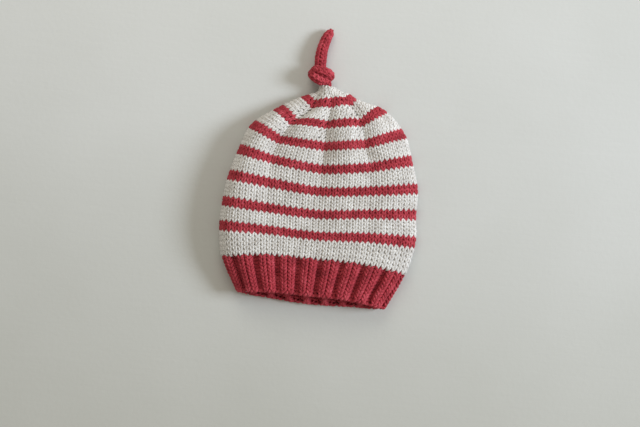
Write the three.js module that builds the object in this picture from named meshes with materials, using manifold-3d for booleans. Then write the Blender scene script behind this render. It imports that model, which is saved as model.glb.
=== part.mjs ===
import * as THREE from "three";
import { LoftGeometry } from "three/addons/geometries/LoftGeometry.js";
import { mergeVertices } from "three/addons/utils/BufferGeometryUtils.js";
import Module from "manifold-3d";

// A striped knitted baby cap lying flat, with a knotted cord at the top.
// Millimetres. +Y runs from the brim to the crown, +Z points up from the surface it lies on.

// Driving dimensions
const ROUND_HEIGHT = 3.1;
const RED_ROUND_HEIGHT = 3.6;
const WHITE_ROUND_HEIGHT = 2.85;
const RIB_ROUNDS = 10;
const BOTTOM_WHITE_ROUNDS = 5;
const RED_ROUNDS = 2;
const WHITE_ROUNDS = 4;
const RED_STRIPES = 7;
const FLAT_WIDTH = 160;
const LOFT = 26;
const KNIT_WALL = 3;
const RIB_COUNT = 18;
const RIB_DEPTH = 2.2;
const GROOVE_SHARE = 0.38;
const GATHER_DEPTH = 6;
const GATHER_FADE = 1.6;
const SEAM_GAP = 0.3;
const GATHERED_SEAM_GAP = 0.5;
const CORD_RADIUS = 3.3;
const REST_STRIPE_NUMBER = 4;

// Sizes that follow from them
const RIB_HEIGHT = RIB_ROUNDS * ROUND_HEIGHT;
const BOTTOM_WHITE_HEIGHT = BOTTOM_WHITE_ROUNDS * ROUND_HEIGHT;
const RED_HEIGHT = RED_ROUNDS * RED_ROUND_HEIGHT;
const WHITE_HEIGHT = WHITE_ROUNDS * WHITE_ROUND_HEIGHT;
const CAP_LENGTH = RIB_HEIGHT + BOTTOM_WHITE_HEIGHT + RED_STRIPES * (RED_HEIGHT + WHITE_HEIGHT);

// The crown is knitted in eight sectors. Sector edges 1, 2 and 3 show on the upper side.
const SECTORS = 8;
const FIRST_EDGE_INDEX = 1;
const LAST_EDGE_INDEX = 3;
const FRONT_SPAN_COUNT = 4;
const RIGHT_FOLD_INDEX = 4;
const LEFT_FOLD_INDEX = 8;

// Mesh fineness
const STEPS_PER_SECTOR = 8;
const FOLD_BUNCHING = 1.5;
const STEPS_PER_RIB = 6;
const RIB_RINGS = [0, 0.16, 1];
const BODY_RINGS = [0, 1];
const CROWN_RINGS = [0, 0.5, 1];
const TRACE_STEP_COUNT = 48;
const CORD_SIDE_COUNT = 10;
const NORMAL_STEP_SHARE = 0.04;
const NORMAL_STEP_SECTORS = 0.3;
const MERGE_DISTANCE = 1e-4;

// Plan of the upper side, one row per section. "at" is the share of the cap length measured
// along the fabric. x is a share of FLAT_WIDTH and y of CAP_LENGTH, for the left fold, the
// three sector edges and the right fold.
const PLAN_COLUMNS = [
  "at", "leftX", "leftY", "edge1X", "edge1Y", "edge2X", "edge2Y", "edge3X", "edge3Y", "rightX", "rightY",
];
const PLAN_ROWS = [
  [0.000, -0.393, 0.010, -0.219, 0.025, -0.013, 0.021, 0.195, 0.010, 0.378, -0.023],
  [0.175, -0.482, 0.165, -0.247, 0.189, 0.000, 0.184, 0.249, 0.174, 0.468, 0.139],
  [0.281, -0.501, 0.304, -0.254, 0.298, 0.004, 0.285, 0.261, 0.293, 0.506, 0.286],
  [0.386, -0.495, 0.416, -0.257, 0.396, 0.001, 0.383, 0.257, 0.400, 0.500, 0.412],
  [0.491, -0.474, 0.538, -0.258, 0.512, 0.001, 0.488, 0.256, 0.505, 0.500, 0.532],
  [0.596, -0.433, 0.659, -0.252, 0.620, 0.003, 0.588, 0.247, 0.613, 0.462, 0.661],
  [0.702, -0.375, 0.782, -0.218, 0.712, 0.008, 0.696, 0.217, 0.721, 0.413, 0.785],
  [0.807, -0.248, 0.868, -0.159, 0.808, 0.013, 0.799, 0.191, 0.825, 0.296, 0.894],
  [0.895, -0.134, 0.924, -0.070, 0.876, 0.027, 0.884, 0.134, 0.906, 0.157, 0.932],
  [0.936, -0.092, 0.939, -0.055, 0.917, 0.023, 0.929, 0.090, 0.940, 0.118, 0.954],
  [0.960, -0.050, 0.954, -0.035, 0.945, 0.012, 0.950, 0.060, 0.955, 0.078, 0.962],
  [1.000, -0.043, 0.980, -0.029, 0.980, 0.000, 0.980, 0.029, 0.980, 0.041, 0.980],
];

// How the lying cap stands up, one row per section. height and foldHeight are shares of LOFT,
// foldReach of FLAT_WIDTH and backDrop of CAP_LENGTH. leftFull and rightFull square the arch
// off, sag is how much of the relief across it follows, crease turns the rows from curves
// into straight runs between sector edges and gather is the share of GATHER_DEPTH.
const LOFT_COLUMNS = [
  "at", "height", "foldHeight", "foldReach", "leftFull", "rightFull", "sag", "backDrop", "crease", "gather",
];
const LOFT_ROWS = [
  [0.000, 0.84, 0.29, 0.055, 4.0, 2.6, 0.3, 0.040, 0.0, 0.00],
  [0.175, 0.92, 0.29, 0.055, 8.0, 2.8, 0.7, 0.012, 0.0, 0.00],
  [0.281, 0.97, 0.29, 0.055, 12.0, 3.0, 1.0, 0.000, 0.1, 0.10],
  [0.491, 1.00, 0.29, 0.055, 12.0, 3.0, 1.0, 0.000, 0.2, 0.35],
  [0.596, 1.00, 0.29, 0.055, 10.0, 3.0, 0.9, 0.000, 0.5, 0.70],
  [0.702, 0.98, 0.29, 0.055, 7.0, 2.8, 0.7, 0.000, 0.8, 1.00],
  [0.807, 0.92, 0.29, 0.050, 4.0, 2.4, 0.4, 0.000, 0.8, 0.80],
  [0.895, 0.74, 0.27, 0.045, 2.4, 2.1, 0.1, 0.000, 0.7, 0.45],
  [0.936, 0.64, 0.26, 0.043, 2.1, 2.0, 0.0, 0.000, 0.4, 0.25],
  [1.000, 0.51, 0.255, 0.041, 2.0, 2.0, 0.0, 0.000, 0.0, 0.00],
];

// The relief across the upper side, from the puffed left fold to the flat right one: shares
// of the width and of the arch height
const RELIEF_COLUMNS = ["at", "height"];
const RELIEF_ROWS = [
  [0.00, 1.00],
  [0.05, 1.00],
  [0.11, 0.96],
  [0.20, 0.84],
  [0.30, 0.73],
  [0.40, 0.69],
  [0.50, 0.70],
  [0.66, 0.70],
  [0.82, 0.64],
  [0.92, 0.56],
  [1.00, 0.50],
];

// Where the rib grooves fade: shares of RIB_HEIGHT and the groove depth left there
const GROOVE_COLUMNS = ["at", "depth"];
const GROOVE_ROWS = [
  [0.00, 0.35],
  [0.16, 1.00],
  [0.80, 1.00],
  [1.00, 0.60],
];

// Chosen route of the cord: out of the neck, twice around, then the tail. Positions are
// measured from the middle of the neck. Every number is a share of CORD_RADIUS.
const CORD_COLUMNS = ["x", "y", "z", "radius"];
const CORD_ROWS = [
  [0.00, -1.11, 0.00, 0.88],
  [0.00, 0.31, 0.00, 0.88],
  [-0.45, 1.25, 0.82, 1.00],
  [-1.95, 1.40, 1.60, 1.12],
  [-3.45, 2.30, 1.35, 1.10],
  [-3.85, 2.95, 0.24, 1.00],
  [-2.85, 2.86, -0.82, 1.00],
  [-1.03, 2.31, -0.91, 1.00],
  [0.27, 2.34, 0.09, 1.05],
  [0.10, 2.95, 1.35, 1.15],
  [-1.60, 3.45, 1.75, 1.15],
  [-3.05, 3.80, 1.15, 1.00],
  [-3.21, 3.77, -0.12, 0.95],
  [-2.28, 4.36, -0.36, 1.16],
  [-2.09, 5.58, -0.30, 1.30],
  [-2.06, 7.10, -0.21, 1.33],
  [-1.85, 9.07, -0.30, 1.25],
  [-1.42, 10.68, -0.42, 1.18],
  [-0.91, 12.16, -0.55, 1.10],
  [-0.18, 13.46, -0.73, 0.85],
  [0.18, 14.28, -0.85, 0.45],
];
const CORD_STEPS_PER_ROW = 2;
const CORD_PIECE_ROWS = 3;
const CORD_NUB_SHARE = 0.6;
const ACROSS = new THREE.Vector3(1, 0, 0);
const KNOT_CORE = { x: -1.76, y: 2.74, z: 0.39, across: 2.48, along: 1.94, up: 1.88 };

const RED_YARN = new THREE.MeshStandardMaterial({ name: "red_yarn", roughness: 0.9, metalness: 0 });
RED_YARN.color.setRGB(0.57, 0.21, 0.24, THREE.SRGBColorSpace);
const WHITE_YARN = new THREE.MeshStandardMaterial({ name: "white_yarn", roughness: 0.92, metalness: 0 });
WHITE_YARN.color.setRGB(0.83, 0.82, 0.79, THREE.SRGBColorSpace);

const wasm = await Module();
wasm.setup();

// Table helpers

function readTable(columns, rows) {
  return rows.map((row) => Object.fromEntries(columns.map((name, index) => [name, row[index]])));
}

const PLAN = readTable(PLAN_COLUMNS, PLAN_ROWS);
const LOFT_TABLE = readTable(LOFT_COLUMNS, LOFT_ROWS);
const RELIEF = readTable(RELIEF_COLUMNS, RELIEF_ROWS);
const GROOVES = readTable(GROOVE_COLUMNS, GROOVE_ROWS);
const CORD = readTable(CORD_COLUMNS, CORD_ROWS);

function slopeAt(table, column, index) {
  const before = table[Math.max(index - 1, 0)];
  const after = table[Math.min(index + 1, table.length - 1)];
  return (after[column] - before[column]) / (after.at - before.at);
}

function tableValue(table, column, at) {
  let index = 0;
  while (index < table.length - 2 && at > table[index + 1].at) {
    index += 1;
  }
  const from = table[index];
  const to = table[index + 1];
  const span = to.at - from.at;
  const t = THREE.MathUtils.clamp((at - from.at) / span, 0, 1);
  const fromSlope = slopeAt(table, column, index) * span;
  const toSlope = slopeAt(table, column, index + 1) * span;
  const cubed = t * t * t;
  const squared = t * t;
  return (2 * cubed - 3 * squared + 1) * from[column]
    + (cubed - 2 * squared + t) * fromSlope
    + (3 * squared - 2 * cubed) * to[column]
    + (cubed - squared) * toSlope;
}

// The lying cap's outer surface

function planPoints(at) {
  const names = ["left", "edge1", "edge2", "edge3", "right"];
  return names.map((name) => new THREE.Vector3(
    tableValue(PLAN, `${name}X`, at) * FLAT_WIDTH,
    tableValue(PLAN, `${name}Y`, at) * CAP_LENGTH,
    0,
  ));
}

function frontPlan(section, share) {
  const index = Math.min(Math.floor(share), FRONT_SPAN_COUNT - 1);
  const t = share - index;
  const straight = section.plan[index].clone().lerp(section.plan[index + 1], t);
  const curved = section.curve.getPoint(share / FRONT_SPAN_COUNT);
  return curved.lerp(straight, section.crease);
}

function frontPoint(section, share) {
  const point = frontPlan(section, share);
  const across = THREE.MathUtils.clamp((point.x - section.middle) / section.halfWidth, -1, 1);
  const fullness = THREE.MathUtils.lerp(section.leftFull, section.rightFull, (across + 1) / 2);
  const arch = Math.sqrt(Math.max(1 - Math.pow(Math.abs(across), fullness), 0));
  const relief = THREE.MathUtils.lerp(1, tableValue(RELIEF, "height", (across + 1) / 2), section.sag);
  point.z = section.foldHeight + (section.height - section.foldHeight) * arch * relief;
  return point;
}

function backPoint(section, share) {
  const point = frontPlan(section, share);
  const inset = section.halfWidth - Math.abs(point.x - section.middle);
  const shortfall = THREE.MathUtils.clamp((section.foldReach - inset) / section.foldReach, 0, 1);
  point.z = section.foldHeight * (1 - Math.sqrt(1 - shortfall * shortfall));
  point.y -= section.backDrop * Math.sin(Math.PI * share / FRONT_SPAN_COUNT);
  return point;
}

// Shares from one end to the other, closer together next to the folds
function easedShares(from, to) {
  const shares = [];
  for (let step = 0; step <= TRACE_STEP_COUNT; step += 1) {
    const share = from + (to - from) * step / TRACE_STEP_COUNT;
    shares.push(FRONT_SPAN_COUNT * (0.5 - 0.5 * Math.cos(Math.PI * share / FRONT_SPAN_COUNT)));
  }
  return shares;
}

function easedPosition(share) {
  return Math.acos(1 - 2 * share / FRONT_SPAN_COUNT) * FRONT_SPAN_COUNT / Math.PI;
}

// The part of a section that runs from sector edge 3 over the right fold, the back and the
// left fold to sector edge 1, with its running length
function traceSides(section) {
  const rightPart = easedShares(easedPosition(LAST_EDGE_INDEX), FRONT_SPAN_COUNT);
  const backPart = easedShares(FRONT_SPAN_COUNT, 0).slice(1);
  const leftPart = easedShares(0, easedPosition(FIRST_EDGE_INDEX)).slice(1);
  const points = [
    ...rightPart.map((share) => frontPoint(section, share)),
    ...backPart.map((share) => backPoint(section, share)),
    ...leftPart.map((share) => frontPoint(section, share)),
  ];
  const lengths = [0];
  for (let index = 1; index < points.length; index += 1) {
    lengths.push(lengths[index - 1] + points[index].distanceTo(points[index - 1]));
  }
  return { points, lengths };
}

const sectionStore = new Map();

function sectionAt(at) {
  const key = at.toFixed(6);
  if (!sectionStore.has(key)) {
    const plan = planPoints(at);
    const section = {
      plan,
      curve: new THREE.CatmullRomCurve3(plan, false, "catmullrom", 0.5),
      middle: (plan[0].x + plan[FRONT_SPAN_COUNT].x) / 2,
      halfWidth: (plan[FRONT_SPAN_COUNT].x - plan[0].x) / 2,
      height: tableValue(LOFT_TABLE, "height", at) * LOFT,
      foldHeight: tableValue(LOFT_TABLE, "foldHeight", at) * LOFT,
      foldReach: tableValue(LOFT_TABLE, "foldReach", at) * FLAT_WIDTH,
      leftFull: tableValue(LOFT_TABLE, "leftFull", at),
      rightFull: tableValue(LOFT_TABLE, "rightFull", at),
      sag: tableValue(LOFT_TABLE, "sag", at),
      backDrop: tableValue(LOFT_TABLE, "backDrop", at) * CAP_LENGTH,
      crease: tableValue(LOFT_TABLE, "crease", at),
    };
    section.sides = traceSides(section);
    sectionStore.set(key, section);
  }
  return sectionStore.get(key);
}

function outerPoint(sector, at) {
  const section = sectionAt(at);
  const turned = FIRST_EDGE_INDEX + THREE.MathUtils.euclideanModulo(sector - FIRST_EDGE_INDEX, SECTORS);
  if (turned <= LAST_EDGE_INDEX) {
    return frontPoint(section, turned);
  }
  const { points, lengths } = section.sides;
  const share = (turned - LAST_EDGE_INDEX) / (SECTORS - LAST_EDGE_INDEX + FIRST_EDGE_INDEX);
  const wanted = share * lengths[lengths.length - 1];
  let index = 0;
  while (index < lengths.length - 2 && lengths[index + 1] < wanted) {
    index += 1;
  }
  const t = (wanted - lengths[index]) / (lengths[index + 1] - lengths[index]);
  return points[index].clone().lerp(points[index + 1], t);
}

function outwardNormal(sector, at) {
  const low = Math.max(at - NORMAL_STEP_SHARE, 0);
  const high = Math.min(at + NORMAL_STEP_SHARE, 1);
  const along = outerPoint(sector, high).sub(outerPoint(sector, low));
  const after = outerPoint(sector + NORMAL_STEP_SECTORS, at);
  const around = after.sub(outerPoint(sector - NORMAL_STEP_SECTORS, at));
  return around.cross(along).normalize();
}

// Valleys along the sector edges of the front, none at the folds or on the flat back
function gatherDepth(sector, at) {
  const pleat = 1 - Math.abs(Math.sin(Math.PI * sector));
  const front = THREE.MathUtils.clamp(GATHER_FADE * Math.sin(Math.PI * sector / FRONT_SPAN_COUNT), 0, 1);
  return GATHER_DEPTH * Math.max(tableValue(LOFT_TABLE, "gather", at), 0) * pleat * front;
}

function grooveDepth(sector, at) {
  const ribAt = at * CAP_LENGTH / RIB_HEIGHT;
  if (ribAt > 1) {
    return 0;
  }
  const phase = (sector - LAST_EDGE_INDEX) * RIB_COUNT / SECTORS;
  const offset = Math.abs(phase - Math.round(phase)) / GROOVE_SHARE;
  const groove = offset < 1 ? 0.5 + 0.5 * Math.cos(Math.PI * offset) : 0;
  return RIB_DEPTH * groove * tableValue(GROOVES, "depth", ribAt);
}

function seamGap(at) {
  const gather = THREE.MathUtils.clamp(tableValue(LOFT_TABLE, "gather", at), 0, 1);
  return THREE.MathUtils.lerp(SEAM_GAP, GATHERED_SEAM_GAP, gather);
}

// A point of the fabric. Both sides of a seam lean the same way, so their gap stays even.
function fabricPoint(sector, length, seam, depth) {
  const at = seam / CAP_LENGTH;
  const inward = depth + gatherDepth(sector, at) + grooveDepth(sector, at);
  const normal = outwardNormal(sector, at);
  return outerPoint(sector, length / CAP_LENGTH).addScaledVector(normal, -inward);
}

// Bands of the cap

function evenPositions(count) {
  return Array.from({ length: count }, (_, step) => step * SECTORS / count);
}

// Positions around a stripe, closer together at the two side folds
function foldPositions() {
  return evenPositions(SECTORS * STEPS_PER_SECTOR).map((position) => {
    const sector = Math.floor(position);
    const t = position - sector;
    if (sector === RIGHT_FOLD_INDEX || sector === LEFT_FOLD_INDEX % SECTORS) {
      return sector + Math.pow(t, FOLD_BUNCHING);
    }
    if (sector === RIGHT_FOLD_INDEX - 1 || sector === LEFT_FOLD_INDEX - 1) {
      return sector + 1 - Math.pow(1 - t, FOLD_BUNCHING);
    }
    return position;
  });
}

function bandGeometry(start, end, ringShares, positions) {
  const ring = (share, depth) => {
    const seam = start + (end - start) * share;
    const length = seam + seamGap(seam / CAP_LENGTH) * (0.5 - share);
    return positions.map((position) => fabricPoint(position, length, seam, depth));
  };
  const outside = ringShares.map((share) => ring(share, 0));
  const inside = ringShares.map((share) => ring(share, KNIT_WALL)).reverse();
  return closedBody(new LoftGeometry([...outside, ...inside, outside[0]]));
}

function closedBody(surface) {
  const geometry = new THREE.BufferGeometry();
  geometry.setAttribute("position", surface.getAttribute("position"));
  geometry.setIndex(surface.index);
  return mergeVertices(geometry, MERGE_DISTANCE);
}

function stripeList() {
  const stripes = [];
  let start = RIB_HEIGHT;
  let end = start + BOTTOM_WHITE_HEIGHT;
  for (let number = 1; number <= RED_STRIPES; number += 1) {
    stripes.push({ name: `white_stripe_${number}`, start, end, material: WHITE_YARN });
    stripes.push({ name: `red_stripe_${number}`, start: end, end: end + RED_HEIGHT, material: RED_YARN });
    start = end + RED_HEIGHT;
    end = start + WHITE_HEIGHT;
  }
  stripes.push({ name: `white_stripe_${RED_STRIPES + 1}`, start, end, material: WHITE_YARN });
  return stripes;
}

function namedMesh(name, geometry, material) {
  geometry.computeVertexNormals();
  const mesh = new THREE.Mesh(geometry, material);
  mesh.name = name;
  return mesh;
}

function makeRibBand() {
  const geometry = bandGeometry(0, RIB_HEIGHT, RIB_RINGS, evenPositions(RIB_COUNT * STEPS_PER_RIB));
  return namedMesh("rib_band", geometry, RED_YARN);
}

function makeStripe({ name, start, end, material }) {
  const tall = end - start > RED_HEIGHT && start > CAP_LENGTH / 2;
  const rings = tall ? CROWN_RINGS : BODY_RINGS;
  return namedMesh(name, bandGeometry(start, end, rings, foldPositions()), material);
}

// Knotted cord

function neckCentre() {
  const section = sectionAt(1);
  return new THREE.Vector3(section.middle, section.plan[0].y, section.height / 2);
}

function cordPosition({ x, y, z }) {
  return new THREE.Vector3(x, y, z).multiplyScalar(CORD_RADIUS).add(neckCentre());
}

function cordSections() {
  const route = new THREE.CatmullRomCurve3(CORD.map(cordPosition));
  const stepCount = (CORD.length - 1) * CORD_STEPS_PER_ROW;
  const radii = CORD.map((row, index) => ({ at: index / (CORD.length - 1), radius: row.radius }));
  const frames = [];
  let normal = ACROSS.clone();
  for (let step = 0; step <= stepCount; step += 1) {
    const t = step / stepCount;
    const tangent = route.getTangent(t);
    normal = normal.clone().addScaledVector(tangent, -normal.dot(tangent)).normalize();
    const side = tangent.clone().cross(normal);
    const centre = route.getPoint(t);
    const radius = tableValue(radii, "radius", t) * CORD_RADIUS;
    frames.push(Array.from({ length: CORD_SIDE_COUNT }, (_, index) => {
      const angle = index * 2 * Math.PI / CORD_SIDE_COUNT;
      return centre.clone()
        .addScaledVector(normal, radius * Math.cos(angle))
        .addScaledVector(side, radius * Math.sin(angle));
    }));
  }
  return frames;
}

function shrunkSection(section) {
  const centre = section.reduce((sum, point) => sum.add(point), new THREE.Vector3());
  centre.divideScalar(section.length);
  return section.map((point) => centre.clone().lerp(point, CORD_NUB_SHARE));
}

// A run of the cord whose narrower ends reach into the runs before and after it
function cordPiece(sections, from, to) {
  const piece = sections.slice(from, to + 1);
  if (from > 0) {
    piece.unshift(shrunkSection(sections[from - 1]));
  }
  if (to < sections.length - 1) {
    piece.push(shrunkSection(sections[to + 1]));
  }
  return piece;
}

function toSolid(geometry) {
  const body = closedBody(geometry);
  const mesh = new wasm.Mesh({
    numProp: 3,
    vertProperties: new Float32Array(body.getAttribute("position").array),
    triVerts: new Uint32Array(body.index.array),
  });
  return new wasm.Manifold(mesh);
}

function fromSolid(solid) {
  const mesh = solid.getMesh();
  const geometry = new THREE.BufferGeometry();
  geometry.setAttribute("position", new THREE.BufferAttribute(new Float32Array(mesh.vertProperties), 3));
  geometry.setIndex(new THREE.BufferAttribute(new Uint32Array(mesh.triVerts), 1));
  return geometry;
}

function makeKnottedCord() {
  const sections = cordSections();
  const pieceSteps = CORD_STEPS_PER_ROW * CORD_PIECE_ROWS;
  const centre = cordPosition(KNOT_CORE);
  const core = new THREE.SphereGeometry(CORD_RADIUS, CORD_SIDE_COUNT, CORD_SIDE_COUNT / 2);
  core.scale(KNOT_CORE.across, KNOT_CORE.along, KNOT_CORE.up);
  core.translate(centre.x, centre.y, centre.z);
  let solid = toSolid(core);
  for (let from = 0; from < sections.length - 1; from += pieceSteps) {
    const piece = cordPiece(sections, from, Math.min(from + pieceSteps, sections.length - 1));
    solid = solid.add(toSolid(new LoftGeometry(piece, { capStart: true, capEnd: true })));
  }
  return namedMesh("knotted_cord", fromSolid(solid), RED_YARN);
}

// The origin sits under the middle of one white stripe, on the face the cap lies on
function restPosition(stripes) {
  const stripe = stripes.find(({ name }) => name === `white_stripe_${REST_STRIPE_NUMBER}`);
  const section = sectionAt((stripe.start + stripe.end) / 2 / CAP_LENGTH);
  const point = backPoint(section, FRONT_SPAN_COUNT / 2);
  return new THREE.Vector3(0, Math.round(point.y), 0);
}

function makeCap() {
  const stripes = stripeList();
  const cap = new THREE.Group();
  cap.name = "striped_knitted_cap";
  cap.add(makeRibBand());
  stripes.forEach((stripe) => cap.add(makeStripe(stripe)));
  cap.add(makeKnottedCord());
  const rest = restPosition(stripes);
  cap.children.forEach((mesh) => mesh.geometry.translate(-rest.x, -rest.y, -rest.z));
  return cap;
}

export default makeCap();
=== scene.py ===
import math

import bpy
import numpy as np
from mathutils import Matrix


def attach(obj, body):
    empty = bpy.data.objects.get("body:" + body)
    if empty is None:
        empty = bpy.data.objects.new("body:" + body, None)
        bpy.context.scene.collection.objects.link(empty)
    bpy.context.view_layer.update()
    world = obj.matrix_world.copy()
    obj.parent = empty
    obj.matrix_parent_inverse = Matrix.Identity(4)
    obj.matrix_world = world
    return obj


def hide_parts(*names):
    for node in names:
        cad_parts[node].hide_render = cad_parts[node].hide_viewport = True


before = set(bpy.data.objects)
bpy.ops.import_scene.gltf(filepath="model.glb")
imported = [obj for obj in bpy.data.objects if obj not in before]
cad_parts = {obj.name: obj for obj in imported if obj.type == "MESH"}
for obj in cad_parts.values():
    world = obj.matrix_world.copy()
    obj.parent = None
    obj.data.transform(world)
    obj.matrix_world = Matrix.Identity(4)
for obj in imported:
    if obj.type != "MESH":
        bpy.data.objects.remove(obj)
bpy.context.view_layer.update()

# A hand-knitted striped baby cap lying flat. Every round of knitting is one real yarn tube.
# Lengths are in millimetres until a mesh is made.

MILLIMETRE = 0.001

# Sizes of the cap
ROUND_HEIGHT = 3.1
RED_ROUND_HEIGHT = 3.6
WHITE_ROUND_HEIGHT = 2.85
RIB_ROUNDS = 10
BOTTOM_WHITE_ROUNDS = 5
RED_ROUNDS = 2
WHITE_ROUNDS = 4
RED_STRIPES = 7
FLAT_WIDTH = 160.0
LOFT = 26.0
RIB_COUNT = 18
RIB_DEPTH = 5.0
GROOVE_SHARE = 0.30
GATHER_DEPTH = 6.0
GATHER_FADE = 1.6
CORD_RADIUS = 3.3
REST_Y = 96.0
NECK_HEIGHT = 6.6
STITCHES_AROUND = 72

# Widths of the rib's knit and purl stitches, counted in plain stitches
KNIT_WIDTH = 1.52
PURL_WIDTH = 0.48

CAP_ROUNDS = RIB_ROUNDS + BOTTOM_WHITE_ROUNDS + RED_STRIPES * (RED_ROUNDS + WHITE_ROUNDS)
RIB_HEIGHT = RIB_ROUNDS * ROUND_HEIGHT


def round_starts():
    """Where each round of the cap starts, in millimetres along the fabric."""
    heights = [ROUND_HEIGHT] * (RIB_ROUNDS + BOTTOM_WHITE_ROUNDS)
    for _ in range(RED_STRIPES):
        heights += [RED_ROUND_HEIGHT] * RED_ROUNDS + [WHITE_ROUND_HEIGHT] * WHITE_ROUNDS
    return np.concatenate([[0], np.cumsum(heights)])


ROUND_STARTS = round_starts()
CAP_LENGTH = ROUND_STARTS[-1]

# The crown is knitted in eight sectors. Sector edges 1, 2 and 3 show on the upper side.
SECTORS = 8
FIRST_EDGE = 1
LAST_EDGE = 3
FRONT_SPANS = 4
STITCHES_PER_SECTOR = STITCHES_AROUND // SECTORS
CROWN_ROUNDS = 15
CROWN_START = CAP_ROUNDS - CROWN_ROUNDS

# Foot of a crown stitch that grows out of two, counted in stitches of the round below
DECREASE_FOOT_WIDTH = 1.3

# Yarn
YARN_RADIUS = 1.18
BODY_YARN_RADIUS = 1.08
YARN_DEPTH = 2.1
YARN_SIDES = 6
LOOP_SAMPLES = 16
SEED = 7

# How unevenly the loops lie, in the units of HALF_LOOP
LOOP_UNEVENNESS = [0.012, 0.025, 0.03]

# Where a loop passes from its foot's place to its own, in rounds from its own round's start
GROW_START = -0.3
GROW_LENGTH = 1.2

# The cast-on yarn winds once for each stitch. Its place and rise are counted in rounds, its
# reach out in yarn diameters, and its thickness is a share of the yarn's.
CAST_ON_SAMPLES = 8
CAST_ON_ROUND = -0.12
CAST_ON_RISE = 0.30
CAST_ON_OUT = 0.42
CAST_ON_THICKNESS = 0.95

# Fineness of the fabric surface
TRACE_STEPS = 48
SAMPLES_PER_ROUND = 4
SAMPLES_PER_SECTOR = 36
NORMAL_SMOOTHING = 12
SHORTEST = 1e-9

# Plan of the upper side, one row per section. "at" is the share of the cap length measured
# along the fabric. x is a share of FLAT_WIDTH and y of CAP_LENGTH, for the left fold, the
# three sector edges and the right fold.
PLAN_COLUMNS = [
    "at", "leftX", "leftY", "edge1X", "edge1Y", "edge2X", "edge2Y",
    "edge3X", "edge3Y", "rightX", "rightY",
]
PLAN_ROWS = [
    [0.000, -0.393, 0.010, -0.219, 0.025, -0.013, 0.021, 0.195, 0.010, 0.378, -0.023],
    [0.175, -0.482, 0.165, -0.247, 0.189, 0.000, 0.184, 0.249, 0.174, 0.468, 0.139],
    [0.281, -0.501, 0.304, -0.254, 0.298, 0.004, 0.285, 0.261, 0.293, 0.506, 0.286],
    [0.386, -0.495, 0.416, -0.257, 0.396, 0.001, 0.383, 0.257, 0.400, 0.500, 0.412],
    [0.491, -0.474, 0.538, -0.258, 0.512, 0.001, 0.488, 0.256, 0.505, 0.500, 0.532],
    [0.596, -0.433, 0.659, -0.252, 0.620, 0.003, 0.588, 0.247, 0.613, 0.462, 0.661],
    [0.702, -0.375, 0.782, -0.218, 0.712, 0.008, 0.696, 0.217, 0.721, 0.413, 0.785],
    [0.807, -0.248, 0.868, -0.159, 0.808, 0.013, 0.799, 0.191, 0.825, 0.296, 0.894],
    [0.895, -0.134, 0.924, -0.070, 0.876, 0.027, 0.884, 0.134, 0.906, 0.157, 0.932],
    [0.936, -0.092, 0.939, -0.055, 0.917, 0.023, 0.929, 0.090, 0.940, 0.118, 0.954],
    [0.960, -0.050, 0.954, -0.035, 0.945, 0.012, 0.950, 0.060, 0.955, 0.078, 0.962],
    [1.000, -0.043, 0.980, -0.029, 0.980, 0.000, 0.980, 0.029, 0.980, 0.041, 0.980],
]

# How the lying cap stands up, one row per section. height and foldHeight are shares of LOFT,
# foldReach of FLAT_WIDTH, backDrop of CAP_LENGTH and gather of GATHER_DEPTH. leftFull and
# rightFull square the arch off and sag is how much of the relief across it follows.
LOFT_COLUMNS = [
    "at", "height", "foldHeight", "foldReach", "leftFull",
    "rightFull", "sag", "backDrop", "crease", "gather",
]
LOFT_ROWS = [
    [0.000, 0.84, 0.29, 0.055, 4.0, 2.6, 0.3, 0.040, 0.0, 0.00],
    [0.175, 0.92, 0.29, 0.055, 8.0, 2.8, 0.7, 0.012, 0.0, 0.00],
    [0.281, 0.97, 0.29, 0.055, 12.0, 3.0, 1.0, 0.000, 0.1, 0.10],
    [0.491, 1.00, 0.29, 0.055, 12.0, 3.0, 1.0, 0.000, 0.2, 0.35],
    [0.596, 1.00, 0.29, 0.055, 10.0, 3.0, 0.9, 0.000, 0.5, 0.70],
    [0.702, 0.98, 0.29, 0.055, 7.0, 2.8, 0.7, 0.000, 0.8, 1.00],
    [0.807, 0.92, 0.29, 0.050, 4.0, 2.4, 0.4, 0.000, 0.8, 0.80],
    [0.895, 0.74, 0.27, 0.045, 2.4, 2.1, 0.1, 0.000, 0.7, 0.45],
    [0.936, 0.64, 0.26, 0.043, 2.1, 2.0, 0.0, 0.000, 0.4, 0.25],
    [1.000, 0.51, 0.255, 0.041, 2.0, 2.0, 0.0, 0.000, 0.0, 0.00],
]

# The relief across the upper side, from the puffed left fold to the flat right one: shares
# of the width and of the arch height
RELIEF_COLUMNS = ["at", "height"]
RELIEF_ROWS = [
    [0.00, 1.00],
    [0.05, 1.00],
    [0.11, 0.96],
    [0.20, 0.84],
    [0.30, 0.73],
    [0.40, 0.69],
    [0.50, 0.70],
    [0.66, 0.70],
    [0.82, 0.64],
    [0.92, 0.56],
    [1.00, 0.50],
]

# Where the rib grooves fade: shares of RIB_HEIGHT and the groove depth left there
GROOVE_COLUMNS = ["at", "depth"]
GROOVE_ROWS = [
    [0.00, 0.55],
    [0.16, 1.00],
    [0.80, 1.00],
    [1.00, 0.60],
]

# Left half of one knitted loop, from the strand between two loops to the loop's head.
# across is a share of the stitch width, up of ROUND_HEIGHT and out of the yarn's diameter.
HALF_LOOP = [
    [-0.50, -0.36, -0.52],
    [-0.28, -0.30, -0.46],
    [-0.07, -0.04, 0.20],
    [-0.16, 0.36, 0.52],
    [-0.33, 0.92, 0.42],
    [-0.34, 1.28, -0.18],
    [0.00, 1.46, -0.52],
]

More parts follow.
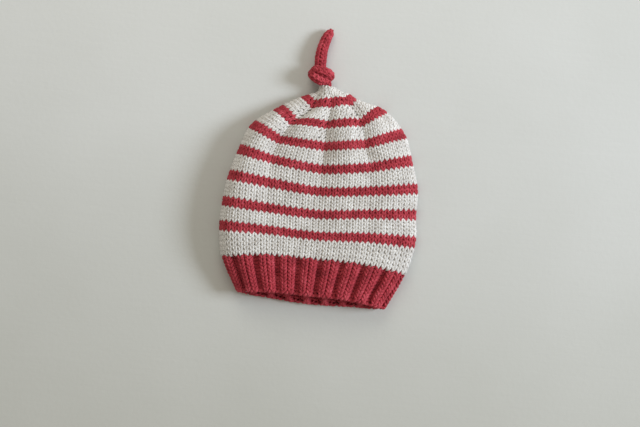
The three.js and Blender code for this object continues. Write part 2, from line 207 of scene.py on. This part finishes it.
# Route of the cord from the middle of the neck: x, y, z and radius, as shares of CORD_RADIUS
CORD_ROWS = [
    [0.00, -1.11, 0.00, 0.88],
    [0.00, 0.31, 0.00, 0.88],
    [-0.45, 1.25, 0.82, 1.00],
    [-1.95, 1.40, 1.60, 1.12],
    [-3.45, 2.30, 1.35, 1.10],
    [-3.85, 2.95, 0.24, 1.00],
    [-2.85, 2.86, -0.82, 1.00],
    [-1.03, 2.31, -0.91, 1.00],
    [0.27, 2.34, 0.09, 1.05],
    [0.10, 2.95, 1.35, 1.15],
    [-1.60, 3.45, 1.75, 1.15],
    [-3.05, 3.80, 1.15, 1.00],
    [-3.21, 3.77, -0.12, 0.95],
    [-2.28, 4.36, -0.36, 1.16],
    [-2.09, 5.58, -0.30, 1.30],
    [-2.06, 7.10, -0.21, 1.33],
    [-1.85, 9.07, -0.30, 1.25],
    [-1.42, 10.68, -0.42, 1.18],
    [-0.91, 12.16, -0.55, 1.10],
    [-0.18, 13.46, -0.73, 0.85],
    [0.18, 14.28, -0.85, 0.30],
]
CORD_STITCHES = 4
CORD_ROUND_HEIGHT = 3.1
CORD_YARN_RADIUS = 1.25
CORD_YARN_DEPTH = 1.50
CORD_FLATNESS = 0.85
CORD_SAMPLES_PER_ROW = 12
CORD_LEAST_RADIUS = 0.2

rng = np.random.RandomState(SEED)


def table_column(columns, rows, name, at):
    """Smooth values of one table column at the places in the array at."""
    table = np.array(rows, dtype=float)
    places = table[:, 0]
    values = table[:, columns.index(name)]
    slopes = np.zeros_like(values)
    slopes[1:-1] = (values[2:] - values[:-2]) / (places[2:] - places[:-2])
    slopes[0] = (values[1] - values[0]) / (places[1] - places[0])
    slopes[-1] = (values[-1] - values[-2]) / (places[-1] - places[-2])
    index = np.clip(np.searchsorted(places, at, side="left") - 1, 0, len(places) - 2)
    span = places[index + 1] - places[index]
    t = np.clip((at - places[index]) / span, 0, 1)
    return (
        (2 * t**3 - 3 * t**2 + 1) * values[index]
        + (t**3 - 2 * t**2 + t) * slopes[index] * span
        + (3 * t**2 - 2 * t**3) * values[index + 1]
        + (t**3 - t**2) * slopes[index + 1] * span
    )


def catmull_rom(p0, p1, p2, p3, t):
    return 0.5 * (
        2 * p1
        + (p2 - p0) * t
        + (2 * p0 - 5 * p1 + 4 * p2 - p3) * t**2
        + (3 * p1 - p0 - 3 * p2 + p3) * t**3
    )


def curve_from(points, index, t):
    """Points of a smooth curve, at t between the second and third of four from each index."""
    return catmull_rom(points[index], points[index + 1], points[index + 2], points[index + 3], t)


def open_curve(points, share):
    """Points of a smooth open curve, with share counted in spans of the point list."""
    ends = np.vstack([2 * points[0] - points[1], points, 2 * points[-1] - points[-2]])
    index = np.minimum(share.astype(int), len(points) - 2)
    t = (share - index)[:, None]
    return curve_from(ends, index, t)


# The lying cap's outer surface

def read_section(at):
    """The named values of one section of the cap."""
    place = np.array([at])
    plan = lambda name, size: table_column(PLAN_COLUMNS, PLAN_ROWS, name, place)[0] * size
    loft = lambda name: table_column(LOFT_COLUMNS, LOFT_ROWS, name, place)[0]
    names = ["left", "edge1", "edge2", "edge3", "right"]
    points = np.array([
        [plan(name + "X", FLAT_WIDTH), plan(name + "Y", CAP_LENGTH)] for name in names
    ])
    return {
        "plan": points,
        "middle": (points[0, 0] + points[-1, 0]) / 2,
        "halfWidth": (points[-1, 0] - points[0, 0]) / 2,
        "height": loft("height") * LOFT,
        "foldHeight": loft("foldHeight") * LOFT,
        "foldReach": loft("foldReach") * FLAT_WIDTH,
        "leftFull": loft("leftFull"),
        "rightFull": loft("rightFull"),
        "sag": loft("sag"),
        "backDrop": loft("backDrop") * CAP_LENGTH,
        "crease": loft("crease"),
    }


def front_plan(section, share):
    plan = section["plan"]
    index = np.minimum(share.astype(int), FRONT_SPANS - 1)
    t = (share - index)[:, None]
    straight = plan[index] * (1 - t) + plan[index + 1] * t
    curved = open_curve(plan, share)
    return curved + (straight - curved) * section["crease"]


def front_points(section, share):
    flat = front_plan(section, share)
    across = np.clip((flat[:, 0] - section["middle"]) / section["halfWidth"], -1, 1)
    from_left = (across + 1) / 2
    fullness = section["leftFull"] + (section["rightFull"] - section["leftFull"]) * from_left
    arch = np.sqrt(np.maximum(1 - np.abs(across) ** fullness, 0))
    drop = table_column(RELIEF_COLUMNS, RELIEF_ROWS, "height", from_left) - 1
    relief = 1 + drop * section["sag"]
    z = section["foldHeight"] + (section["height"] - section["foldHeight"]) * arch * relief
    return np.column_stack([flat, z])


def back_points(section, share):
    flat = front_plan(section, share)
    inset = section["halfWidth"] - np.abs(flat[:, 0] - section["middle"])
    shortfall = np.clip((section["foldReach"] - inset) / section["foldReach"], 0, 1)
    z = section["foldHeight"] * (1 - np.sqrt(1 - shortfall**2))
    y = flat[:, 1] - section["backDrop"] * np.sin(math.pi * share / FRONT_SPANS)
    return np.column_stack([flat[:, 0], y, z])


def eased_shares(start, end):
    """Shares of the front from start to end, closer together next to the folds."""
    place = lambda share: math.acos(1 - 2 * share / FRONT_SPANS) * FRONT_SPANS / math.pi
    steps = np.linspace(place(start), place(end), TRACE_STEPS + 1)
    return np.clip(FRONT_SPANS * (0.5 - 0.5 * np.cos(math.pi * steps / FRONT_SPANS)), 0, FRONT_SPANS)


def ring_points(at):
    """Evenly spaced points around the cap at one place along it, counted in sectors."""
    section = read_section(at)
    trace = np.vstack([
        front_points(section, eased_shares(LAST_EDGE, FRONT_SPANS)),
        back_points(section, eased_shares(FRONT_SPANS, 0))[1:],
        front_points(section, eased_shares(0, FIRST_EDGE))[1:],
    ])
    steps = np.linalg.norm(np.diff(trace, axis=0), axis=1)
    lengths = np.concatenate([[0], np.cumsum(steps)])
    position = np.arange(SECTORS * SAMPLES_PER_SECTOR) / SAMPLES_PER_SECTOR
    turned = FIRST_EDGE + np.mod(position - FIRST_EDGE, SECTORS)
    wanted = (turned - LAST_EDGE) / (SECTORS - LAST_EDGE + FIRST_EDGE) * lengths[-1]
    sides = np.column_stack([np.interp(wanted, lengths, trace[:, axis]) for axis in range(3)])
    front = front_points(section, np.clip(turned, 0, FRONT_SPANS))
    return np.where((turned <= LAST_EDGE)[:, None], front, sides)


def unit(vectors):
    return vectors / np.maximum(np.linalg.norm(vectors, axis=-1, keepdims=True), SHORTEST)


def smooth_around(grid, passes):
    for _ in range(passes):
        grid = (np.roll(grid, 1, axis=1) + 2 * grid + np.roll(grid, -1, axis=1)) / 4
    return grid


def make_surface_grid():
    places = np.linspace(0, 1, CAP_ROUNDS * SAMPLES_PER_ROUND + 1)
    points = np.array([ring_points(at) for at in places])
    around = np.roll(points, -1, axis=1) - np.roll(points, 1, axis=1)
    along = np.gradient(points, axis=0)
    normals = unit(smooth_around(unit(np.cross(around, along)), NORMAL_SMOOTHING))
    return points, normals


SURFACE_POINTS, SURFACE_NORMALS = make_surface_grid()


def grid_lookup(grid, sector, length):
    """Grid values at places given in sectors and millimetres along the fabric."""
    columns = grid.shape[1]
    across = np.mod(sector, SECTORS) * SAMPLES_PER_SECTOR
    left = across.astype(int) % columns
    right = (left + 1) % columns
    u = (across - np.floor(across))[:, None]
    along = length / CAP_LENGTH * (grid.shape[0] - 1)
    low = np.clip(np.floor(along).astype(int), 0, grid.shape[0] - 2)
    v = (along - low)[:, None]
    bottom = grid[low, left] * (1 - u) + grid[low, right] * u
    top = grid[low + 1, left] * (1 - u) + grid[low + 1, right] * u
    return bottom * (1 - v) + top * v


def groove_depth(sector, at):
    rib_at = at * CAP_LENGTH / RIB_HEIGHT
    phase = (sector - LAST_EDGE) * RIB_COUNT / SECTORS
    offset = np.abs(phase - np.round(phase)) / GROOVE_SHARE
    groove = np.where(offset < 1, 0.5 + 0.5 * np.cos(math.pi * np.minimum(offset, 1)), 0)
    fade = table_column(GROOVE_COLUMNS, GROOVE_ROWS, "depth", rib_at)
    return RIB_DEPTH * groove * np.where(rib_at <= 1, fade, 0)


def gather_depth(sector, at):
    """Valleys along the sector edges of the front, none at the folds or on the flat back."""
    pleat = 1 - np.abs(np.sin(math.pi * sector))
    front = np.clip(GATHER_FADE * np.sin(math.pi * sector / FRONT_SPANS), 0, 1)
    gather = np.maximum(table_column(LOFT_COLUMNS, LOFT_ROWS, "gather", at), 0)
    return GATHER_DEPTH * gather * pleat * front


def cap_surface(sector, rounds, out):
    """Points of the fabric at a distance out from its middle layer, and their normals. The
    place along the fabric is counted in rounds."""
    whole = np.clip(rounds, 0, CAP_ROUNDS)
    length = np.interp(whole, np.arange(CAP_ROUNDS + 1), ROUND_STARTS)
    length = length + (rounds - whole) * ROUND_HEIGHT
    at = np.clip(length / CAP_LENGTH, 0, 1)
    normals = unit(grid_lookup(SURFACE_NORMALS, sector, np.clip(length, 0, CAP_LENGTH)))
    depth = YARN_DEPTH + groove_depth(sector, at) + gather_depth(sector, at) - out
    points = grid_lookup(SURFACE_POINTS, sector, length) - normals * depth[:, None]
    points[:, 1] -= REST_Y
    return points, normals


# Yarn tubes

def yarn_frames(points, normals):
    tangent = unit(np.roll(points, -1, axis=0) - np.roll(points, 1, axis=0))
    side = unit(np.cross(tangent, normals))
    return side, np.cross(side, tangent)


def tube_arrays(points, normals, radius):
    """Vertices, faces and yarn coordinates of one closed tube."""
    side, up = yarn_frames(points, normals)
    count = len(points)
    angle = np.arange(YARN_SIDES) * 2 * math.pi / YARN_SIDES
    spokes = side[:, None] * np.cos(angle)[:, None] + up[:, None] * np.sin(angle)[:, None]
    vertices = (points[:, None] + spokes * radius).reshape(-1, 3)
    following = np.roll(points, -1, axis=0)
    steps = np.linalg.norm(following - points, axis=1)
    start = np.concatenate([[0], np.cumsum(steps)])
    row = np.arange(count)[:, None]
    column = np.arange(YARN_SIDES)[None, :]
    next_row = (row + 1) % count
    next_column = (column + 1) % YARN_SIDES
    faces = np.stack([
        row * YARN_SIDES + column,
        row * YARN_SIDES + next_column,
        next_row * YARN_SIDES + next_column,
        next_row * YARN_SIDES + column,
    ], axis=-1).reshape(-1, 4)
    low = np.broadcast_to(start[row], (count, YARN_SIDES))
    high = np.broadcast_to(start[row + 1], (count, YARN_SIDES))
    turn = np.broadcast_to(column / YARN_SIDES, (count, YARN_SIDES))
    next_turn = turn + 1 / YARN_SIDES
    yarn = np.stack([
        np.stack([low, turn], -1),
        np.stack([low, next_turn], -1),
        np.stack([high, next_turn], -1),
        np.stack([high, turn], -1),
    ], axis=2).reshape(-1, 2)
    return vertices, faces, yarn


def mesh_from_tubes(name, tubes, material):
    """One object made of all the tubes in the list."""
    offset = 0
    all_faces = []
    for vertices, faces, _ in tubes:
        all_faces.append(faces + offset)
        offset += len(vertices)
    vertices = np.vstack([tube[0] for tube in tubes]) * MILLIMETRE
    faces = np.vstack(all_faces)
    yarn = np.vstack([tube[2] for tube in tubes])
    mesh = bpy.data.meshes.new(name)
    mesh.from_pydata(vertices, [], faces)
    layer = mesh.uv_layers.new(name="yarn")
    layer.data.foreach_set("uv", yarn.astype(np.float32).ravel())
    mesh.polygons.foreach_set("use_smooth", np.ones(len(faces), dtype=bool))
    mesh.materials.append(material)
    mesh.update()
    obj = bpy.data.objects.new(name, mesh)
    bpy.context.scene.collection.objects.link(obj)
    return obj


# Knitting

# Points of a loop after the strand that joins it to its neighbour
FOOT_AND_LEGS = [1, 2, 3, 4, 8, 9, 10, 11]
HEAD = [5, 6, 7]


def full_loop():
    left = np.array(HALF_LOOP)
    right = left[1:-1][::-1] * np.array([-1, 1, 1])
    return np.vstack([left, right])


def smooth_step(value):
    t = np.clip(value, 0, 1)
    return t * t * (3 - 2 * t)


def knit_round(surface, number, own, foot, period, yarn_radius,
               purl=None, flatness=1.0, next_plain=True):
    """One round of loops as a closed tube, pressed flat where it meets the floor. own and foot
    are (centres, widths) around the fabric, where the loops stand and where they grow out of
    the round below."""
    loop = full_loop()
    stitches = len(own[0])
    shape = np.repeat(loop[None], stitches, axis=0)
    shape = shape + rng.normal(0, 1, shape.shape) * np.array(LOOP_UNEVENNESS)
    side = np.ones(stitches) if purl is None else np.where(purl, -1.0, 1.0)
    head_side = np.ones(stitches) if next_plain else side
    shape[:, :, 2] *= flatness
    shape[:, FOOT_AND_LEGS, 2] *= side[:, None]
    shape[:, HEAD, 2] *= head_side[:, None]
    shape[:, 0, 2] = loop[0, 2] * (side + np.roll(side, 1)) / 2 * flatness
    grown = smooth_step((shape[:, :, 1] - GROW_START) / GROW_LENGTH)
    centre = foot[0][:, None] * (1 - grown) + own[0][:, None] * grown
    width = foot[1][:, None] * (1 - grown) + own[1][:, None] * grown
    around = centre + shape[:, :, 0] * width
    rounds = number + shape[:, :, 1]
    out = shape[:, :, 2] * yarn_radius * 2
    control = np.stack([around, rounds, out], axis=-1).reshape(-1, 3)
    shift = np.array([period, 0, 0])
    wrapped = np.vstack([control[-1:] - shift, control, control[:2] + shift])
    share = np.arange(stitches * LOOP_SAMPLES) * len(loop) / LOOP_SAMPLES
    index = share.astype(int)
    t = (share - index)[:, None]
    path = curve_from(wrapped, index, t)
    points, normals = surface(path[:, 0], path[:, 1], path[:, 2])
    points[:, 2] = np.maximum(points[:, 2], yarn_radius)
    return tube_arrays(points, normals, yarn_radius)


def stitches_per_sector(number):
    """Stitches in a sector of the cap at a round counted from the cast-on edge."""
    if number < CROWN_START:
        return STITCHES_PER_SECTOR
    from_top = CAP_ROUNDS - 1 - number
    return 1 + (from_top + 1) // 2


def crown_places(number):
    """Own and foot places of a round of plain stitches. At each sector's end the last
    stitch grows out of two."""
    count = stitches_per_sector(number)
    below = stitches_per_sector(max(number - 1, 0))
    step = np.arange(count)
    own = (step + 0.5) / count
    foot = (step + 0.5) / below
    foot_width = np.full(count, 1 / below)
    if below > count:
        foot[-1] = count / below
        foot_width[-1] = DECREASE_FOOT_WIDTH / below
    sectors = np.repeat(np.arange(SECTORS), count)
    tile = lambda values: np.tile(values, SECTORS)
    own_places = (sectors + tile(own), tile(np.full(count, 1 / count)))
    foot_places = (sectors + tile(foot), tile(foot_width))
    return own_places, foot_places


def rib_places():
    """Places of the rib's stitches: two wide knit ones, then two narrow purl ones."""
    widths = np.tile([PURL_WIDTH, KNIT_WIDTH, KNIT_WIDTH, PURL_WIDTH], RIB_COUNT)
    purl = np.tile([True, False, False, True], RIB_COUNT)
    edges = np.concatenate([[0], np.cumsum(widths)]) / STITCHES_PER_SECTOR
    start = LAST_EDGE - math.floor(LAST_EDGE * RIB_COUNT / SECTORS) * SECTORS / RIB_COUNT
    centres = start + (edges[:-1] + edges[1:]) / 2
    return (centres, widths / STITCHES_PER_SECTOR), purl


def cast_on_tube():
    """The yarn that winds along the cast-on edge."""
    turns = np.arange(STITCHES_AROUND * CAST_ON_SAMPLES) / CAST_ON_SAMPLES
    sector = turns / STITCHES_PER_SECTOR
    rounds = CAST_ON_ROUND + CAST_ON_RISE * np.sin(2 * math.pi * turns)
    out = CAST_ON_OUT * np.cos(2 * math.pi * turns) * YARN_RADIUS * 2
    points, normals = cap_surface(sector, rounds, out)
    points[:, 2] = np.maximum(points[:, 2], YARN_RADIUS)
    return tube_arrays(points, normals, YARN_RADIUS * CAST_ON_THICKNESS)


def rib_tubes():
    places, purl = rib_places()
    tubes = [cast_on_tube()]
    for number in range(RIB_ROUNDS):
        last = number == RIB_ROUNDS - 1
        tubes.append(knit_round(
            cap_surface, number, places, places, SECTORS, YARN_RADIUS, purl, next_plain=last))
    return tubes


def stripe_tubes(first, rounds):
    tubes = []
    for number in range(first, first + rounds):
        own, foot = crown_places(number)
        if number == RIB_ROUNDS:
            foot = own
        tubes.append(knit_round(cap_surface, number, own, foot, SECTORS, BODY_YARN_RADIUS))
    return tubes


# The knotted cord

def cord_route():
    """Points, radii and turning frames along the cord, with the running length."""
    rows = np.array(CORD_ROWS)
    neck = np.array([0, PLAN_ROWS[-1][2] * CAP_LENGTH - REST_Y, NECK_HEIGHT])
    share = np.linspace(0, len(rows) - 1, (len(rows) - 1) * CORD_SAMPLES_PER_ROW + 1)
    points = open_curve(rows[:, :3], share) * CORD_RADIUS + neck
    radius = open_curve(rows[:, 3:], share)[:, 0] * CORD_RADIUS
    tangent = unit(np.gradient(points, axis=0))
    normal = np.zeros_like(points)
    current = np.array([0.0, 0.0, 1.0])
    for index, direction in enumerate(tangent):
        current = current - direction * np.dot(current, direction)
        current = current / np.linalg.norm(current)
        normal[index] = current
    steps = np.linalg.norm(np.diff(points, axis=0), axis=1)
    length = np.concatenate([[0], np.cumsum(steps)])
    return points, radius, tangent, normal, length


CORD_POINTS, CORD_RADII, CORD_TANGENTS, CORD_NORMALS, CORD_LENGTHS = cord_route()


def along_cord(values, length):
    if values.ndim == 1:
        return np.interp(length, CORD_LENGTHS, values)
    return np.column_stack([np.interp(length, CORD_LENGTHS, values[:, axis]) for axis in range(3)])


def cord_surface(turn, rounds, out):
    length = rounds * CORD_ROUND_HEIGHT
    centre = along_cord(CORD_POINTS, length)
    tangent = unit(along_cord(CORD_TANGENTS, length))
    normal = unit(along_cord(CORD_NORMALS, length))
    side = np.cross(tangent, normal)
    angle = (2 * math.pi * turn)[:, None]
    outward = normal * np.cos(angle) + side * np.sin(angle)
    radius = np.maximum(along_cord(CORD_RADII, length) - CORD_YARN_DEPTH, CORD_LEAST_RADIUS) + out
    return centre + outward * radius[:, None], outward


def cord_tubes():
    rounds = int(CORD_LENGTHS[-1] / CORD_ROUND_HEIGHT)
    step = np.arange(CORD_STITCHES)
    places = ((step + 0.5) / CORD_STITCHES, np.full(CORD_STITCHES, 1 / CORD_STITCHES))
    return [
        knit_round(cord_surface, number, places, places, 1, CORD_YARN_RADIUS, flatness=CORD_FLATNESS)
        for number in range(rounds)
    ]


# Materials

class Shader:
    """A small helper that adds nodes and links to one material."""

    def __init__(self, name):
        self.material = bpy.data.materials.new(name)
        self.material.use_nodes = True
        self.nodes = self.material.node_tree.nodes
        self.links = self.material.node_tree.links
        self.surface = self.nodes["Principled BSDF"]

    def node(self, kind, **values):
        node = self.nodes.new(kind)
        for key, value in values.items():
            setattr(node, key, value)
        return node

    def math(self, operation, first, second=0.0):
        node = self.node("ShaderNodeMath", operation=operation)
        for socket, value in zip(node.inputs, (first, second)):
            if isinstance(value, bpy.types.NodeSocket):
                self.links.new(value, socket)
            else:
                socket.default_value = value
        return node.outputs[0]

    def noise(self, vector, scale, detail):
        node = self.node("ShaderNodeTexNoise")
        node.inputs["Scale"].default_value = scale
        node.inputs["Detail"].default_value = detail
        self.links.new(vector, node.inputs["Vector"])
        return node.outputs[0]

    def ramp(self, factor, stops):
        node = self.node("ShaderNodeValToRGB")
        elements = node.color_ramp.elements
        while len(elements) < len(stops):
            elements.new(0.5)
        for element, (position, colour) in zip(elements, stops):
            element.position = position
            element.color = (*colour, 1)
        self.links.new(factor, node.inputs[0])
        return node.outputs[0]

    def mix(self, factor, first, second, blend="MIX"):
        """Inputs 0, 6 and 7 are the factor and the two colours, and output 2 is the colour."""
        node = self.node("ShaderNodeMix", data_type="RGBA", blend_type=blend)
        sockets = (node.inputs[0], node.inputs[6], node.inputs[7])
        for socket, value in zip(sockets, (factor, first, second)):
            if isinstance(value, bpy.types.NodeSocket):
                self.links.new(value, socket)
            elif isinstance(value, tuple):
                socket.default_value = (*value, 1)
            else:
                socket.default_value = value
        return node.outputs[2]

    def bump(self, height, strength, distance, after=None):
        node = self.node("ShaderNodeBump")
        node.inputs["Strength"].default_value = strength
        node.inputs["Distance"].default_value = distance
        self.links.new(height, node.inputs["Height"])
        if after is not None:
            self.links.new(after, node.inputs["Normal"])
        return node.outputs[0]


# Noises are (scale, detail) and bumps (strength, height in metres)

# The yarn's look, with the twist's length in millimetres
PLY_COUNT = 3
PLY_TWIST_LENGTH = 6.0
HEATHER_NOISE = (140.0, 3.0)
HEATHER_STOPS = (0.30, 0.50, 0.72)
FIBRE_NOISE = (1900.0, 4.0)
PLY_SHADE = 0.35
FIBRE_LIGHT = 0.5
PLY_BUMP = (0.7, 0.0005)
FIBRE_BUMP = (0.5, 0.0003)
WOOL_ROUGHNESS = 0.85
WOOL_SPECULAR = 0.2
SHEEN_ROUGHNESS = 0.5
RED_SHEEN = 0.26
WHITE_SHEEN = 0.2

# The board's look, with the strokes' turns in degrees
CLOUD_NOISE = (6.0, 4.0)
CLOUD_STOPS = (0.3, 0.7)
GRAIN_NOISE = (260.0, 5.0)
GRAIN_BUMP = (0.25, 0.0004)
STROKE_TURNS = (28, 118)
STROKE_STRETCH = (1.0, 7.0, 1.0)
STROKE_NOISE = (26.0, 5.0)
STROKE_BUMP = (0.10, 0.0010)
PAINT_ROUGHNESS = 0.8

# Painted shade: the board's colour is darkened towards the brim's side, where the lamps alone leave
# it too bright. The length over which it changes, in metres, and how far it has changed at the
# origin
PAINTED_SHADE_LENGTH = 0.26
LIGHT_SHARE_AT_ORIGIN = 0.85


def linear(red, green, blue):
    """Linear colour from the 0 to 255 values of a screen colour."""
    parts = []
    for value in (red, green, blue):
        share = value / 255
        parts.append(share / 12.92 if share <= 0.04045 else ((share + 0.055) / 1.055) ** 2.4)
    return tuple(parts)


RED_TONES = [linear(126, 30, 38), linear(168, 48, 58), linear(204, 86, 97)]
WHITE_TONES = [linear(194, 188, 181), linear(214, 210, 204), linear(236, 234, 230)]
PAINT_TONES = [linear(202, 203, 198), linear(208, 209, 205)]
PAINTED_SHADE_TONE = linear(236, 235, 230)
UNSHADED_TONE = (1.0, 1.0, 1.0)


def yarn_material(name, tones, sheen):
    """Twisted wool yarn: plies with painted shade between them, fibres and a heathered colour."""
    dark, _, light = tones
    shader = Shader(name)
    yarn = shader.node("ShaderNodeUVMap", uv_map="yarn").outputs[0]
    split = shader.node("ShaderNodeSeparateXYZ")
    shader.links.new(yarn, split.inputs[0])
    along, turn = split.outputs[0], split.outputs[1]
    twist = shader.math("ADD", shader.math("MULTIPLY", turn, PLY_COUNT),
                        shader.math("MULTIPLY", along, PLY_COUNT / PLY_TWIST_LENGTH))
    wave = shader.math("SINE", shader.math("MULTIPLY", twist, 2 * math.pi))
    ply = shader.math("ADD", shader.math("MULTIPLY", wave, 0.5), 0.5)
    place = shader.node("ShaderNodeTexCoord").outputs["Object"]
    broad = shader.noise(place, *HEATHER_NOISE)
    fine = shader.noise(place, *FIBRE_NOISE)
    tint = shader.ramp(broad, list(zip(HEATHER_STOPS, tones)))
    # Painted shade: the yarn's tone darkens in the valleys between the plies
    valley = shader.math("MULTIPLY", shader.math("SUBTRACT", 1.0, ply), PLY_SHADE)
    shaded = shader.mix(valley, tint, dark)
    speckle = shader.math("MULTIPLY", fine, FIBRE_LIGHT)
    colour = shader.mix(speckle, shaded, light)
    shader.links.new(colour, shader.surface.inputs["Base Color"])
    rounded = shader.bump(ply, *PLY_BUMP)
    fibres = shader.bump(fine, *FIBRE_BUMP, rounded)
    shader.links.new(fibres, shader.surface.inputs["Normal"])
    shader.surface.inputs["Roughness"].default_value = WOOL_ROUGHNESS
    shader.surface.inputs["Specular IOR Level"].default_value = WOOL_SPECULAR
    shader.surface.inputs["Sheen Weight"].default_value = sheen
    shader.surface.inputs["Sheen Roughness"].default_value = SHEEN_ROUGHNESS
    shader.surface.inputs["Sheen Tint"].default_value = (*light, 1)
    return shader.material


def paint_material():
    """The pale painted board under the cap."""
    shader = Shader("pale_paint")
    place = shader.node("ShaderNodeTexCoord").outputs["Object"]
    broad = shader.noise(place, *CLOUD_NOISE)
    fine = shader.noise(place, *GRAIN_NOISE)
    colour = shader.ramp(broad, list(zip(CLOUD_STOPS, PAINT_TONES)))
    split = shader.node("ShaderNodeSeparateXYZ")
    shader.links.new(place, split.inputs[0])
    # Painted shade: the board's colour darkens towards negative y, the brim's side
    along = shader.math("MULTIPLY", split.outputs[1], 1 / PAINTED_SHADE_LENGTH)
    light_share = shader.math("ADD", along, LIGHT_SHARE_AT_ORIGIN)
    painted_shade = shader.ramp(light_share, [(0.0, PAINTED_SHADE_TONE), (1.0, UNSHADED_TONE)])
    colour = shader.mix(1.0, colour, painted_shade, "MULTIPLY")
    shader.links.new(colour, shader.surface.inputs["Base Color"])
    relief = shader.bump(fine, *GRAIN_BUMP)
    for turn in STROKE_TURNS:
        strokes = shader.node("ShaderNodeMapping")
        strokes.inputs["Rotation"].default_value = (0, 0, math.radians(turn))
        strokes.inputs["Scale"].default_value = STROKE_STRETCH
        shader.links.new(place, strokes.inputs["Vector"])
        marks = shader.noise(strokes.outputs[0], *STROKE_NOISE)
        relief = shader.bump(marks, *STROKE_BUMP, relief)
    shader.links.new(relief, shader.surface.inputs["Normal"])
    shader.surface.inputs["Roughness"].default_value = PAINT_ROUGHNESS
    return shader.material


RED_WOOL = yarn_material("red_wool", RED_TONES, RED_SHEEN)
WHITE_WOOL = yarn_material("white_wool", WHITE_TONES, WHITE_SHEEN)


# Pieces

def place_piece(name, node, tubes, material):
    piece = mesh_from_tubes(name, tubes, material)
    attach(piece, "root")
    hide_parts(node)


def build_cap():
    place_piece("knit_rib_band", "rib_band", rib_tubes(), RED_WOOL)
    first = RIB_ROUNDS
    rounds = BOTTOM_WHITE_ROUNDS
    for number in range(1, RED_STRIPES + 1):
        white = f"white_stripe_{number}"
        red = f"red_stripe_{number}"
        place_piece("knit_" + white, white, stripe_tubes(first, rounds), WHITE_WOOL)
        first += rounds
        place_piece("knit_" + red, red, stripe_tubes(first, RED_ROUNDS), RED_WOOL)
        first += RED_ROUNDS
        rounds = WHITE_ROUNDS
    top = f"white_stripe_{RED_STRIPES + 1}"
    place_piece("knit_" + top, top, stripe_tubes(first, rounds), WHITE_WOOL)
    place_piece("knit_cord", "knotted_cord", cord_tubes(), RED_WOOL)


# Surroundings, with lengths in metres

FLOOR_SIZE = 4.0
FLOOR_DROP = 0.0002
ROOM_COLOUR = (1.0, 0.95, 0.85, 1)
ROOM_STRENGTH = 0.42


def make_floor():
    bpy.ops.mesh.primitive_plane_add(size=FLOOR_SIZE, location=(0, 0, -FLOOR_DROP))
    floor = bpy.context.object
    floor.name = "floor"
    floor.data.materials.append(paint_material())


def add_area_light(name, location, target, size, power, colour):
    data = bpy.data.lights.new(name, "AREA")
    data.shape = "DISK"
    data.size = size
    data.energy = power
    data.color = colour
    light = bpy.data.objects.new(name, data)
    bpy.context.scene.collection.objects.link(light)
    light.location = location
    direction = np.array(target) - np.array(location)
    flat = math.hypot(direction[0], direction[1])
    lean = math.atan2(flat, -direction[2])
    turn = math.atan2(direction[1], direction[0]) - math.pi / 2
    light.rotation_euler = (lean, 0, turn)


def make_lights():
    add_area_light(
        "window", location=(2.3, 0.28, 1.30), target=(0, 0, 0),
        size=0.90, power=68.0, colour=(0.82, 0.89, 1.0),
    )
    add_area_light(
        "bounce", location=(-0.15, 0.75, 0.60), target=(0, 0.2, 0),
        size=0.60, power=2.6, colour=(1.0, 0.97, 0.90),
    )
    world = bpy.data.worlds.new("room")
    bpy.context.scene.world = world
    world.use_nodes = True
    background = world.node_tree.nodes["Background"]
    background.inputs["Color"].default_value = ROOM_COLOUR
    background.inputs["Strength"].default_value = ROOM_STRENGTH


# Camera straight above, turned so that the cap leans to the right as it lies in the picture.
# The lens and the sensor are in millimetres and the roll in degrees.
FIELD_WIDTH = 0.5201
FIELD_LEVEL = 0.012
LENS = 70.0
SENSOR = 36.0
CAMERA_X = 0.0013
CAMERA_Y = -0.0267
ROLL = 4.0


def make_camera():
    data = bpy.data.cameras.new("camera")
    data.lens = LENS
    data.sensor_width = SENSOR
    camera = bpy.data.objects.new("camera", data)
    bpy.context.scene.collection.objects.link(camera)
    camera.location = (CAMERA_X, CAMERA_Y, FIELD_LEVEL + FIELD_WIDTH * LENS / SENSOR)
    camera.rotation_euler = (0, 0, math.radians(ROLL))
    bpy.context.scene.camera = camera


build_cap()
make_floor()
make_lights()
make_camera()
bpy.context.scene.view_settings.view_transform = "Standard"
